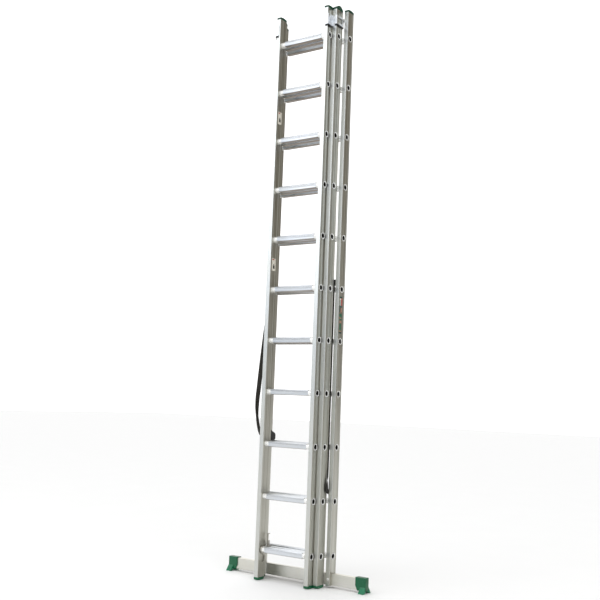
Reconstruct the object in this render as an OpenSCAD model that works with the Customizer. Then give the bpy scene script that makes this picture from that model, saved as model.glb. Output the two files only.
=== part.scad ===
// Three-section aluminium extension ladder, closed, standing on its feet at z = 0.
// The climbing side faces -Y. The front section slides on the middle one, and the middle
// one slides in guides that swing on the rear one. The rear section carries the stabiliser bar.

/* [Rungs] */
// Rungs in each section
rung_count = 11; // [6:1:11]
// Distance from one rung to the next
rung_pitch = 280; // [230:5:340]
// Height of the lowest rung's centre
first_rung_z = 160; // [140:1:200]
// Height and depth of a rung's profile
rung_size = 30; // [27:1:34]
// Wall of a rung's profile
rung_wall = 2; // [1.6:0.1:2.4]
// Radius of the hole through a rung's ends
rung_bore_r = 13; // [11:0.5:13.5]
// Radius of the round rung end where it passes the stile
rung_end_r = 15; // [14:0.5:16]
// Radius of the flared rim outside the stile
rim_r = 18.5; // [17:0.5:20]
// How far the rim stands out of the web
rim_h = 2.2; // [1.5:0.1:3]
// Length of the smooth round collar inside the stile
collar_len = 24; // [15:1:30]

/* [Stiles] */
// Outside width of the front section
front_width = 347; // [280:1:420]
// Width of one stile across its front face
stile_w = 25; // [22:1:32]
// Depth of the front section's stiles
front_depth = 58; // [50:1:75]
// Depth of the middle section's stiles
middle_depth = 63; // [52:1:78]
// Depth of the rear section's stiles
rear_depth = 57; // [48:1:75]
// Sideways gap between front and middle stiles
front_gap = 4; // [3.5:0.5:6]
// Sideways gap between middle and rear stiles
rear_gap = 9; // [9:0.5:14]
// Gap in depth between the front stiles and the middle rungs, which slide behind them
nest_gap = 1; // [0.5:0.5:6]
// Gap in depth between middle and rear stiles
rear_step = 2; // [2:0.5:6]
// Thickness of the stiles' side webs
web_t = 1.8; // [1.4:0.1:2.4]
// Thickness of the stiles' front and back walls
flange_t = 2.4; // [2:0.1:3]
// Depth of the shallow recess in the outer web
web_recess = 1; // [0.5:0.1:1.4]
// Stile above the highest rung's centre
stile_over = 149; // [120:1:200]

/* [Bar and feet] */
// Length of the bar's tube
bar_len = 882; // [700:1:1100]
// Height of the bar
bar_h = 60; // [50:1:70]
// Depth of the bar
bar_d = 25; // [20:1:30]
// Wall of the bar
bar_t = 2; // [1.5:0.1:3]
// Height of the bar's lower edge
bar_z = 14; // [13:1:30]
// Length of a bar foot along the bar
foot_len = 61; // [45:1:80]
// Length of a bar foot's sole along the bar
sole_len = 31; // [20:1:40]
// Depth of a bar foot across its sole
sole_d = 74; // [60:1:90]
// Wall of a bar foot
foot_t = 4; // [3:0.5:6]
// Height of the stile plugs below the metal
plug_h = 16; // [14:1:24]
// Radius of a stile plug's rounded sole
plug_sole_r = 110; // [90:1:160]
// Length of the spigots inside the stiles
spigot = 32; // [20:1:50]
// Height of the top caps at their edges
cap_edge = 10; // [5:1:12]
// Rise of the front and rear caps' arch
cap_rise = 4; // [2:1:8]
// Rise of the middle caps' arch
middle_cap_rise = 16; // [4:1:20]

/* [Guides and hooks] */
// Thickness of the guide plates
guide_t = 2.5; // [2:0.1:3.5]
// Running gap between a guide and its stile
guide_gap = 0.8; // [0.5:0.1:1.5]
// Height of the front section's guides
guide_h = 60; // [50:1:80]
// Height of the swivel guides
swivel_h = 50; // [40:1:60]
// Height of the guides' tops below the stile tops
guide_drop = 37; // [35:1:60]
// How far the front lip of a front guide reaches over the stile
guide_lip = 15; // [10:1:20]
// Pivot behind the rear stile's front face
pivot_back = 18; // [15:0.5:24]
// Pivot below the swivel guide's top
pivot_drop = 9; // [8:0.5:12]
// Radius of the pivot pins
pivot_r = 4; // [3:0.5:5]
// Thickness of a rung hook
hook_t = 7; // [5:0.5:8]
// Width of the hook's ring round the rung
hook_ring = 4.5; // [3.5:0.5:5]
// Width of the lip at the hook's end
hook_lip = 4; // [3:0.5:6]

/* [Straps] */
// Width of the webbing
strap_w = 25; // [20:1:25]
// Thickness of the webbing
strap_t = 2; // [1.5:0.1:2]

/* [Hidden] */
$fn = 64;
fit = 0.05; // between pieces that are fixed together
slip = 0.3; // between a plug and the tube that it is pushed into
alloy = [0.80, 0.80, 0.78];
bright = [0.90, 0.90, 0.89];
green = [0.05, 0.42, 0.24];
black = [0.08, 0.08, 0.08];

// Depth of each section: y = 0 is the front of the front stiles until place() centres it.
front_y = 0;
seat_r = rung_size / 2 + 0.5; // the round collars, and the seats that the hooks turn on
middle_y = front_depth + nest_gap - (middle_depth / 2 - seat_r);
rear_y = middle_y + middle_depth + rear_step;
front_half = front_width / 2;
middle_half = front_half + front_gap + stile_w;
rear_half = middle_half + rear_gap + stile_w;
front_axis = front_y + front_depth / 2;
middle_axis = middle_y + middle_depth / 2;
rear_axis = rear_y + rear_depth / 2;
rung_out = rim_h - web_recess;

bar_y = rear_axis;
bar_mid_z = bar_z + bar_h / 2;
stile_top = first_rung_z + (rung_count - 1) * rung_pitch + stile_over;
rear_bottom = bar_z - 3;
guide_top = stile_top - guide_drop;
pivot_y = rear_y + pivot_back;
pivot_z = guide_top - pivot_drop;
// The swivel plate stands in the gap between the stiles, clear of the middle rungs' rims.
swivel_x = middle_half + rung_out + guide_gap;

front_lip_y = front_y - guide_gap - guide_t;
overall_back = max(bar_y + sole_d / 2, rear_y + rear_depth);
depth_mid = (front_lip_y + overall_back) / 2;

// The hooks turn on the lowest rungs, the front pair outside the middle pair.
front_hook_x = front_half - stile_w - 1.5 - hook_t;
middle_hook_x = front_hook_x - 4 - hook_t; // 4 mm clear of the front hooks
mouth = rung_size / 2 + 1.5;

function rung_z(i) = first_rung_z + (i - 1) * rung_pitch;
function two(i) = i < 10 ? str("0", i) : str(i);
function unit(v) = v / norm(v);

// Centres the depth, so that the origin is under the middle of the ladder.
module place() translate([0, -depth_mid, 0]) children();

// Extrudes a (y, z) outline along X.
module along_x(x, len) translate([x, 0, 0]) rotate([90, 0, 90]) linear_extrude(len) children();

module rod_x(x, y, z, r, len) translate([x, y, z]) rotate([0, 90, 0]) cylinder(r = r, h = len);

module side(e) if (e == "left") mirror([1, 0, 0]) children(); else children();

module both() for (e = ["left", "right"]) side(e) children();

module round_rect(w, h, r) {
    translate([r, 0]) square([w - 2 * r, h]);
    translate([0, r]) square([w, h - 2 * r]);
    for (x = [r, w - r]) for (y = [r, h - r]) translate([x, y]) circle(r = r, $fn = 24);
}

// ---- stiles and rungs ----

// Cross-section of the right stile, seen from above, with its outer web at x = half.
module stile_section(half, y, depth) {
    lip = 7; // full width of the stile beside the recess
    line_w = 1.2;
    line_deep = 0.4;
    translate([half - stile_w, y]) difference() {
        round_rect(stile_w, depth, 1.5);
        translate([web_t, flange_t])
            square([stile_w - 2 * web_t - web_recess, depth - 2 * flange_t]);
        translate([stile_w - web_recess, lip]) square([web_recess + 1, depth - 2 * lip]);
        for (x = [0.3, 0.7] * stile_w) translate([x - line_w / 2, line_deep - 2])
            square([line_w, 2]);
        for (y = [0.25, 0.75] * depth) translate([line_deep - 2, y - line_w / 2])
            square([2, line_w]);
    }
}

module stile(half, y, depth, bottom) {
    difference() {
        translate([0, 0, bottom]) linear_extrude(stile_top - bottom)
            stile_section(half, y, depth);
        for (i = [1:rung_count])
            rod_x(half - stile_w - 1, y + depth / 2, rung_z(i), rung_end_r, stile_w + 2);
    }
}

module front_stile(e) color(alloy) place() side(e) stile(front_half, front_y, front_depth, plug_h);

module middle_stile(e) color(alloy) place() side(e) difference() {
    stile(middle_half, middle_y, middle_depth, plug_h);
    for (z = rivet_zs()) guide_rivet_hole(z);
}

module rear_stile(e) color(alloy) place() side(e) difference() {
    stile(rear_half, rear_y, rear_depth, rear_bottom);
    translate([rear_half - stile_w - 1, bar_y - bar_d / 2 - slip, bar_z - slip])
        cube([stile_w + 2, bar_d + 2 * slip, bar_h + 2 * slip]);
    translate([bolt_x(), rear_y - 1, bar_mid_z]) rotate([-90, 0, 0])
        cylinder(r = bolt_r + slip, h = rear_depth + 2);
    rod_x(rear_half - stile_w - 1, pivot_y, pivot_z, pivot_r + slip, web_t + 2);
}

module rung_section() {
    rib = rung_size / 12;
    rib_h = 0.9;
    groove_w = 2.4;
    groove_deep = 0.8;
    translate([-rung_size / 2, -rung_size / 2]) difference() {
        round_rect(rung_size, rung_size, 4);
        for (k = [-1.5, -0.5, 0.5, 1.5])
            translate([rung_size / 2 + k * 2 * rib - rib / 2, rung_size - rib_h]) square([rib, 2]);
        for (y = [groove_deep - 2, rung_size - groove_deep])
            translate([y, rung_size * 0.42]) square([2, groove_w]);
    }
}

// One rung: ribbed tread, round collars, tube ends through the stiles and flared rims.
module rung(half, y, z, collar) {
    inner = half - stile_w;
    translate([0, y, z]) difference() {
        union() {
            along_x(-inner + collar, 2 * (inner - collar)) rung_section();
            both() rod_x(inner - collar, 0, 0, seat_r, collar - fit);
            both() rod_x(inner - collar, 0, 0, rung_end_r - fit, collar + stile_w);
            both() translate([half - web_recess + fit, 0, 0]) rotate([0, 90, 0]) rim();
        }
        rod_x(-half - 5, 0, 0, rung_bore_r, 2 * half + 10);
        along_x(-inner + collar + 2, 2 * (inner - collar) - 4)
            translate([-rung_size / 2 + rung_wall, -rung_size / 2 + rung_wall])
                round_rect(rung_size - 2 * rung_wall, rung_size - 2 * rung_wall, 3);
    }
}

module rim() cylinder(r1 = rim_r, r2 = rim_r - 1, h = rim_h);

module front_rung(i) color(bright) place()
    rung(front_half, front_axis, rung_z(i), collar_len);

module middle_rung(i) color(bright) place()
    rung(middle_half, middle_axis, rung_z(i),
        i == 1 ? middle_half - stile_w - middle_hook_x + 2 : collar_len);

module rear_rung(i) color(bright) place() rung(rear_half, rear_axis, rung_z(i), collar_len);

// ---- plastic ends ----

// A block that fills the stile's hollow with a little slip.
module stile_plug(half, y, depth, z, len) {
    translate([half - stile_w + web_t + slip, y + flange_t + slip, z])
        cube([stile_w - 2 * web_t - web_recess - 2 * slip, depth - 2 * (flange_t + slip), len]);
}

// A cap over the stile's top, straight at its edges and arched in between.
module top_cap(half, y, depth, rise) {
    arch_r = (depth * depth / 4 + rise * rise) / (2 * rise);
    along_x(half - stile_w, stile_w) translate([y, stile_top + fit]) {
        square([depth, cap_edge]);
        intersection() {
            translate([depth / 2, cap_edge + rise - arch_r]) circle(r = arch_r, $fn = 180);
            translate([0, cap_edge - 1]) square([depth, rise + 2]);
        }
    }
    stile_plug(half, y, depth, stile_top - spigot, spigot + 1);
}

module front_top_caps() color(green) place() both()
    top_cap(front_half, front_y, front_depth, cap_rise);

module middle_top_caps() color(green) place() both()
    top_cap(middle_half, middle_y, middle_depth, middle_cap_rise);

module rear_top_caps() color(green) place() both()
    top_cap(rear_half, rear_y, rear_depth, cap_rise);

module foot_plug(half, y, depth) {
    along_x(half - stile_w, stile_w) intersection() {
        translate([y, 0]) square([depth, plug_h - fit]);
        translate([y + depth / 2, plug_sole_r]) circle(r = plug_sole_r, $fn = 180);
    }
    stile_plug(half, y, depth, plug_h - 1, spigot + 1);
}

module front_foot_plugs() color(green) place() both()
    foot_plug(front_half, front_y, front_depth);

module middle_foot_plugs() color(green) place() both()
    foot_plug(middle_half, middle_y, middle_depth);

// ---- stabiliser bar ----

bolt_r = 4;
function bolt_x() = rear_half - stile_w / 2;

module stabiliser_bar() color(alloy) place() difference() {
    along_x(-bar_len / 2, bar_len) translate([bar_y - bar_d / 2, bar_z]) difference() {
        round_rect(bar_d, bar_h, 2);
        translate([bar_t, bar_t]) square([bar_d - 2 * bar_t, bar_h - 2 * bar_t]);
    }
    both() translate([bolt_x(), bar_y - bar_d, bar_mid_z]) rotate([-90, 0, 0])
        cylinder(r = bolt_r + slip, h = 2 * bar_d);
}

module bar_bolts() color(bright) place() both() translate([bolt_x(), rear_y, bar_mid_z])
    rotate([-90, 0, 0]) {
        translate([0, 0, -4]) cylinder(r1 = 5, r2 = 7.5, h = 4 - fit);
        translate([0, 0, -1]) cylinder(r = bolt_r, h = rear_depth + 9);
        translate([0, 0, rear_depth + fit]) cylinder(r = 7.5, h = 6.5, $fn = 6);
    }

// Foot on the bar's end: a sleeve, and under its outer half a sole splayed front and back.
module bar_foot(e) color(green) place() side(e) {
    out = bar_len / 2 + foot_t;
    sleeve_d = bar_d + 2 * foot_t;
    pad = sole_d / 2 - sole_d / 5;
    flap_top = bar_z + 17; // where the sole's flaps leave the sleeve
    mouth_cut = 36; // the sleeve's mouth is cut back below this height
    translate([0, bar_y, 0]) difference() {
        union() {
            translate([out - foot_len, -sleeve_d / 2, bar_z - 2])
                cube([foot_len, sleeve_d, bar_h + 2 + foot_t]);
            along_x(out - sole_len, sole_len) difference() {
                polygon([[-sleeve_d / 2, flap_top], [-sole_d / 2, 3],
                    [-sole_d / 2, 0], [-pad, 0], [-sleeve_d / 4, bar_z - 4],
                    [sleeve_d / 4, bar_z - 4], [pad, 0], [sole_d / 2, 0],
                    [sole_d / 2, 3], [sleeve_d / 2, flap_top]]);
                for (s = [-1, 1]) for (k = [1:3])
                    translate([s * (pad + k * sole_d / 20) - 1, -1]) square([2, 2.5]);
            }
        }
        translate([0, -bar_d / 2 - fit, bar_z - fit])
            cube([bar_len / 2 + fit, bar_d + 2 * fit, bar_h + 2 * fit]);
        translate([out - foot_len, sleeve_d, 0]) rotate([90, 0, 0])
            linear_extrude(2 * sleeve_d)
                polygon([[-1, 0], [mouth_cut / 2 + 1, 0], [0, mouth_cut], [-1, mouth_cut]]);
    }
}

// ---- guides ----

function rivet_zs() = [guide_top - guide_h * 0.25, guide_top - guide_h * 0.75];
rivet_r = 2.4;
rivet_x = front_half + front_gap + 9;
guide_x = front_half + front_gap + 1 - guide_t; // the side plate's inner face
guide_foot = 13.5; // width of the guide that lies on the middle stile

module guide_rivet_hole(z) translate([rivet_x, middle_y - guide_t - 3, z]) rotate([-90, 0, 0])
    cylinder(r = rivet_r + fit, h = guide_t + flange_t + 6);

// Bracket riveted on the middle stile's front that wraps the front stile.
module front_guides() color(bright) place() both() difference() {
    translate([0, 0, guide_top - guide_h]) linear_extrude(guide_h) {
        translate([front_half - guide_lip, front_lip_y])
            square([guide_x + guide_t - front_half + guide_lip, guide_t]);
        translate([guide_x, front_lip_y]) square([guide_t, middle_y - fit - front_lip_y]);
        translate([guide_x, middle_y - fit - guide_t]) square([guide_foot, guide_t]);
    }
    for (z = rivet_zs()) guide_rivet_hole(z);
    rod_x(guide_x - 1, front_y + 8, guide_top - 8, 2.5, guide_t + 2);
}

module guide_rivets() color(bright) place() both() for (z = rivet_zs())
    translate([rivet_x, middle_y - guide_t - fit, z]) rotate([-90, 0, 0]) {
        translate([0, 0, -2]) cylinder(r1 = 2.6, r2 = 4.4, h = 2 - fit);
        translate([0, 0, -1]) cylinder(r = rivet_r, h = guide_t + flange_t + 2);
        translate([0, 0, guide_t + flange_t + 2 * fit]) cylinder(r = 3.6, h = 2);
    }

// Channel round the middle stile that swings on the rear stile and lets the middle slide.
module swivel_guide(e) color(bright) place() side(e) {
    front_grip = 10; // how far the channel reaches over the middle stile's front
    back_grip = 18;
    frame_w = 10; // rim that is left round the window in the side plate
    front = middle_y - guide_gap - guide_t;
    behind = middle_y + middle_depth + guide_gap;
    bottom = guide_top - swivel_h;
    difference() {
        union() {
            translate([0, 0, bottom]) linear_extrude(swivel_h) {
                translate([middle_half - front_grip, front])
                    square([swivel_x + guide_t - middle_half + front_grip, guide_t]);
                translate([swivel_x, front]) square([guide_t, behind + guide_t - front]);
                translate([middle_half - back_grip, behind])
                    square([swivel_x + guide_t - middle_half + back_grip, guide_t]);
            }
            along_x(swivel_x, guide_t) {
                translate([pivot_y, pivot_z]) circle(r = pivot_drop);
                translate([behind, pivot_z - pivot_drop])
                    square([pivot_y - behind, 2 * pivot_drop]);
            }
        }
        rod_x(swivel_x - 1, pivot_y, pivot_z, pivot_r + 0.06, guide_t + 2);
        translate([swivel_x - 1, front + frame_w, bottom + frame_w])
            cube([guide_t + 2, behind - front - 2 * frame_w, swivel_h - 2 * frame_w]);
    }
}

// Pins through the swivel plates and the rear stiles' inner webs, each with a spacer between.
module pivot_pins() color(alloy) place() both() {
    head = 2.4;
    web_x = rear_half - stile_w;
    plate_out = swivel_x + guide_t;
    rod_x(swivel_x - head - 0.1, pivot_y, pivot_z, pivot_r + 3, head);
    rod_x(swivel_x - 1, pivot_y, pivot_z, pivot_r, web_x + web_t + 3 - swivel_x);
    rod_x(plate_out + 0.1, pivot_y, pivot_z, pivot_r + 2, web_x - fit - plate_out - 0.1);
    rod_x(web_x + web_t + fit, pivot_y, pivot_z, pivot_r + 2.5, head);
}

// ---- rung hooks ----

// Hook as it grips a rung that lies reach behind the one it turns on.
module hook_shape(reach) {
    difference() {
        union() {
            circle(r = seat_r + hook_ring);
            translate([0, 4]) square([reach + mouth + hook_lip, seat_r + hook_ring - 4]);
        }
        circle(r = seat_r + fit);
        translate([reach - mouth, -rung_size]) square([2 * mouth, rung_size + seat_r + 0.3]);
    }
}

module hook(e, x, y, reach, turn) place() side(e) translate([0, y, rung_z(1)])
    along_x(x, hook_t) rotate(turn) hook_shape(reach);

// The front hooks hang below their rung.
module front_hook(e) color(alloy)
    hook(e, front_hook_x, front_axis, middle_axis - front_axis, -90);

// The middle hooks stand upright, just past their balance point.
module middle_hook(e) color(alloy)
    hook(e, middle_hook_x, middle_axis, rear_axis - middle_axis, 90);

// ---- straps ----

// Heights of the rungs that the strap ends are clipped to, and of the riveted tops.
left_clip_z = rung_z(3);
right_clip_z = rung_z(2);
strap_top = rung_z(6) + 52;
clip_t = 5;
clip_wall = 4;
left_clip_x = 188;
right_clip_x = 205.5;

// Routes: place along the webbing, then the direction of its width there.
left_route = [
    [[-195, 110, 1612], [1, 0, 0]], [[-195, 110, 1575], [1, 0, 0]],
    [[-197.5, 111.5, 1556], [1, 0.25, 0]], [[-202, 113, 1537], [1, 0.8, 0]],
    [[-205.5, 109, 1518], [0.6, 1, 0]], [[-207.5, 101, 1499], [0.2, 1, 0]],
    [[-209.5, 94, 1481], [0.1, 1, 0]], [[-213, 90, 1459], [0.12, 1, 0]],
    [[-219, 90, 1420], [0.3, 1, 0]], [[-227, 90, 1372], [0.6, 1, 0]],
    [[-232, 90, 1330], [0.8, 0.9, 0]], [[-236.5, 90, 1287], [1, 0.8, 0]],
    [[-245.5, 90, 1203], [1, 0.7, 0]], [[-254.5, 90, 1111], [1, 0.7, 0]],
    [[-263, 90, 1016], [0.9, 0.8, 0]], [[-266.5, 90, 985], [0.75, 0.9, 0]],
    [[-268.7, 90, 955], [0.6, 1, 0]], [[-269.5, 90, 910], [0.3, 1, 0]],
    [[-267, 91, 868], [0, 1, 0]], [[-262, 93, 832], [0, 1, 0.15]],
    [[-256, 97, 798], [0, 1, 0.4]], [[-251, 104, 774], [0, 0.8, 0.8]],
    [[-246, 117, 760], [0, 0.3, 1]], [[-243, 136, 755], [0, 0, 1]],
    [[-243, 156, 753], [0, 0, 1]], [[-239, 166, 753], [0, 0, 1]],
    [[-230, 170, 753], [0, 0, 1]], [[-208, 171, 753], [0, 0, 1]],
    [[-195, 170, 753], [0, 0, 1]], [[-190, 165, 753], [0, 0, 1]],
    [[-190, 160, 753], [0, 0, 1]]];
right_route = [
    [[195, 110, 1612], [1, 0, 0]], [[195, 110, 1500], [1, 0, 0]],
    [[195, 110, 1350], [1, 0, 0]], [[194.6, 110, 1200], [1, 0, 0]],
    [[194.6, 110, 1050], [1, 0, 0]], [[194.6, 110, 900], [1, 0, 0]],
    [[195, 110, 760], [1, 0, 0]], [[195, 110, 640], [1, 0, 0]],
    [[197, 110.5, 600], [1, -0.25, 0]], [[201, 111, 570], [1, -0.8, 0]],
    [[205, 107.5, 545], [0.6, -1, 0]], [[207.5, 101, 525], [0.2, -1, 0]],
    [[208, 98, 512], [0, -1, 0]], [[208, 98, 505], [0, -1, 0]],
    [[208, 99.2, 498.9], [0, -0.92, -0.38]], [[208, 102.7, 493.7], [0, -1, -1]],
    [[208, 107.9, 490.2], [0, -0.38, -0.92]], [[208, 114, 489], [0, 0, -1]],
    [[208, 117, 489], [0, 0, -1]]];

left_end = left_route[len(left_route) - 1][0];
right_end = right_route[len(right_route) - 1][0];

// Flat webbing swept along a route: four corners at each place, and both of its wide
// faces split along the same diagonals.
module webbing(route) {
    n = len(route);
    at = [for (p = route) p[0]];
    function along(k) = unit(at[min(k + 1, n - 1)] - at[max(k - 1, 0)]);
    function wide(k) = unit(route[k][1] - (route[k][1] * along(k)) * along(k));
    function flat(k) = cross(along(k), wide(k));
    corners = [[1, 1], [1, -1], [-1, -1], [-1, 1]];
    points = [for (k = [0:n - 1]) for (c = corners)
        at[k] + c[0] * wide(k) * strap_w / 2 + c[1] * flat(k) * strap_t / 2];
    faces = concat(
        [[0, 1, 2, 3]],
        [for (k = [0:n - 2]) for (c = [0:3]) let (a = 4 * k + c, b = 4 * k + (c + 1) % 4)
            for (t = c < 2 ? [[a, a + 4, b + 4], [a, b + 4, b]]
                : [[a, a + 4, b], [b, a + 4, b + 4]]) t],
        [[4 * n - 1, 4 * n - 2, 4 * n - 3, 4 * n - 4]]);
    polyhedron(points = points, faces = faces, convexity = 4);
}

module strap_left() color(black) place() webbing(left_route);

module strap_right() color(black) place() webbing(right_route);

// Clip round a rung, and the tab that the webbing is sewn to, drawn from the rung's axis.
module strap_clip(x, z, tab) translate([x, rear_axis, z]) along_x(0, clip_t) {
    inside = seat_r + slip;
    difference() {
        union() {
            circle(r = inside + clip_wall);
            polygon(tab);
        }
        circle(r = inside);
        translate([-inside * 0.7, -2 * inside]) square([inside * 1.4, 1.5 * inside]);
    }
}

// Angle on the rear stile's inner web that the webbing's end is riveted to.
module strap_anchor() {
    plate_t = 2;
    plate_h = 34;
    plate_d = 29;
    head_t = 1.1;
    strap_x = right_route[0][0].x;
    strap_front = right_route[0][0].y - strap_t / 2;
    flange_y = strap_front + strap_t + fit;
    flange_in = strap_x - strap_w / 2 + 3;
    outside = rear_half - stile_w - fit;
    translate([outside - plate_t, flange_y, strap_top - plate_h])
        cube([plate_t, plate_d, plate_h]);
    translate([flange_in, flange_y, strap_top - plate_h])
        cube([outside - flange_in, plate_t, plate_h]);
    for (dz = [0.25, 0.75] * plate_h)
        translate([strap_x, strap_front - fit, strap_top - dz]) rotate([90, 0, 0])
            cylinder(r = 4, h = head_t);
}

module strap_fittings() color(black) place() {
    left_reach = left_end.y - fit - rear_axis;
    right_reach = right_end.y + fit - rear_axis;
    both() strap_anchor();
    side("left") strap_clip(left_clip_x, left_clip_z,
        [[-8, 8], [-18, 72], [left_reach, 52], [left_reach, 18], [8, 8]]);
    strap_clip(right_clip_x, right_clip_z,
        [[8, 8], [18, 66], [right_reach, 62], [right_reach, 30], [-8, 8]]);
}

// ---- nodes ----

for (e = ["left", "right"]) {
    front_stile(e);
    middle_stile(e);
    rear_stile(e);
    bar_foot(e);
    swivel_guide(e);
    front_hook(e);
    middle_hook(e);
}
for (i = [1:rung_count]) {
    front_rung(i);
    middle_rung(i);
    rear_rung(i);
}
front_top_caps();
middle_top_caps();
rear_top_caps();
front_foot_plugs();
middle_foot_plugs();
stabiliser_bar();
bar_bolts();
front_guides();
guide_rivets();
pivot_pins();
strap_left();
strap_right();
strap_fittings();
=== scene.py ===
"""Three-section aluminium extension ladder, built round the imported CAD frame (metres)."""
import math

import bmesh
import bpy
from mathutils import Matrix, Vector


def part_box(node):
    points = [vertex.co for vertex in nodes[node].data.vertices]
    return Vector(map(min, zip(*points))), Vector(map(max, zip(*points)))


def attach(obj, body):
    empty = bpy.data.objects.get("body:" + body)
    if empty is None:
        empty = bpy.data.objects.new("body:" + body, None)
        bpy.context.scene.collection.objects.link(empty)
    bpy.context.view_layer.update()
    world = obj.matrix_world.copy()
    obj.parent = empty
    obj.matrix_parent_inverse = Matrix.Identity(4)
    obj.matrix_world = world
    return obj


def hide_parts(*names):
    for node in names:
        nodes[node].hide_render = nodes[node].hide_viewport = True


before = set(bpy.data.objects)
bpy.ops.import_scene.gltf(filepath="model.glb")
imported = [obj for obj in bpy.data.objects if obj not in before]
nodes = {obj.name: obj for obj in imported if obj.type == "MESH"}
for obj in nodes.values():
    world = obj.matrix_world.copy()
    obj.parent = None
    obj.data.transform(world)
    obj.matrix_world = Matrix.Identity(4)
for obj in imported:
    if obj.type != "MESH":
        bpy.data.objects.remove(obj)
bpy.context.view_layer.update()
scene = bpy.context.scene
MM = 0.001
SECTIONS = ("front", "middle", "rear")
SIDES = {"left": -1, "right": 1}
RUNGS = sum(1 for n in nodes if n.startswith("front_rung_"))


# ---------------------------------------------------------------- camera

def make_camera():
    """From the right and in front, at waist height, tilted a little up and rolled 2 degrees."""
    data = bpy.data.cameras.new("camera")
    camera = bpy.data.objects.new("camera", data)
    scene.collection.objects.link(camera)
    right = Vector((0.81961, 0.57166, 0.03796))
    forward = Vector((-0.57205, 0.81293, 0.10912))
    up = right.cross(forward).normalized()
    right = forward.cross(up).normalized()
    turn = Matrix((right, up, -forward)).transposed().to_4x4()
    camera.matrix_world = Matrix.Translation((2.821, -4.0104, 0.9666)) @ turn
    data.sensor_width = 36.0
    data.lens = 54.06
    data.clip_end = 100.0
    scene.camera = camera


make_camera()


# ---------------------------------------------------------------- sizes from the frame

def span(node):
    low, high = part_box(node)
    return Vector(low), Vector(high)


class Section:
    """Where one section's stiles and rungs are."""

    def __init__(self, name):
        self.name = name
        self.body = name + "_section"
        low, high = span(name + "_stile_right")
        self.half = high.x
        self.inner = low.x
        self.front, self.back = low.y, high.y
        self.depth = high.y - low.y
        self.top = high.z
        self.axis = (low.y + high.y) / 2
        self.rung_z = []
        for i in range(1, RUNGS + 1):
            low, high = span(f"{name}_rung_{i:02d}")
            self.rung_z.append((low.z + high.z) / 2)


section = {s: Section(s) for s in SECTIONS}


# ---------------------------------------------------------------- node materials

def new_material(name):
    mat = bpy.data.materials.new(name)
    mat.use_nodes = True
    tree = mat.node_tree
    tree.nodes.clear()
    out = tree.nodes.new("ShaderNodeOutputMaterial")
    shader = tree.nodes.new("ShaderNodeBsdfPrincipled")
    tree.links.new(shader.outputs[0], out.inputs[0])
    return mat, tree, shader


def mapping(tree, scale):
    coords = tree.nodes.new("ShaderNodeTexCoord")
    turn = tree.nodes.new("ShaderNodeMapping")
    turn.inputs["Scale"].default_value = scale
    tree.links.new(coords.outputs["Object"], turn.inputs[0])
    return turn.outputs[0]


def axes(tree, kind):
    """The x, y and z sockets of the object's own coordinates or normals."""
    coords = tree.nodes.new("ShaderNodeTexCoord")
    split = tree.nodes.new("ShaderNodeSeparateXYZ")
    tree.links.new(coords.outputs[kind], split.inputs[0])
    return split.outputs


def noise(tree, scale, detail=4.0, rough=0.55, stretch=(1, 1, 1)):
    node = tree.nodes.new("ShaderNodeTexNoise")
    node.inputs["Scale"].default_value = scale
    node.inputs["Detail"].default_value = detail
    node.inputs["Roughness"].default_value = rough
    tree.links.new(mapping(tree, stretch), node.inputs["Vector"])
    return node.outputs[0]


def remap(tree, value, low, high, from_low=0.0, from_high=1.0, kind="LINEAR"):
    node = tree.nodes.new("ShaderNodeMapRange")
    node.interpolation_type = kind
    node.inputs["From Min"].default_value = from_low
    node.inputs["From Max"].default_value = from_high
    node.inputs["To Min"].default_value = low
    node.inputs["To Max"].default_value = high
    tree.links.new(value, node.inputs["Value"])
    return node.outputs[0]


def ease(tree, value, start, end, most=1.0):
    """0 before start, most after end, and a smooth step between."""
    return remap(tree, value, 0.0, most, start, end, "SMOOTHSTEP")


def mix(tree, factor, a, b):
    """Mixes two colours; each is a socket or a plain colour."""
    node = tree.nodes.new("ShaderNodeMix")
    node.data_type = "RGBA"
    sockets = [s for s in node.inputs if s.type == "RGBA"]
    for socket, value in zip(sockets, (a, b)):
        if isinstance(value, tuple):
            socket.default_value = (*value, 1.0)
        else:
            tree.links.new(value, socket)
    if isinstance(factor, float):
        node.inputs[0].default_value = factor
    else:
        tree.links.new(factor, node.inputs[0])
    return [s for s in node.outputs if s.type == "RGBA"][0]


def math_node(tree, operation, a, b):
    node = tree.nodes.new("ShaderNodeMath")
    node.operation = operation
    for socket, value in zip(node.inputs, (a, b)):
        if isinstance(value, (int, float)):
            socket.default_value = value
        else:
            tree.links.new(value, socket)
    return node.outputs[0]


def bump(tree, shader, height, strength, distance=0.0004):
    node = tree.nodes.new("ShaderNodeBump")
    node.inputs["Strength"].default_value = strength
    node.inputs["Distance"].default_value = distance
    tree.links.new(height, node.inputs["Height"])
    tree.links.new(node.outputs[0], shader.inputs["Normal"])


def tint(tone, by):
    return tuple(min(1.0, a * b) for a, b in zip(tone, by))


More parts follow.
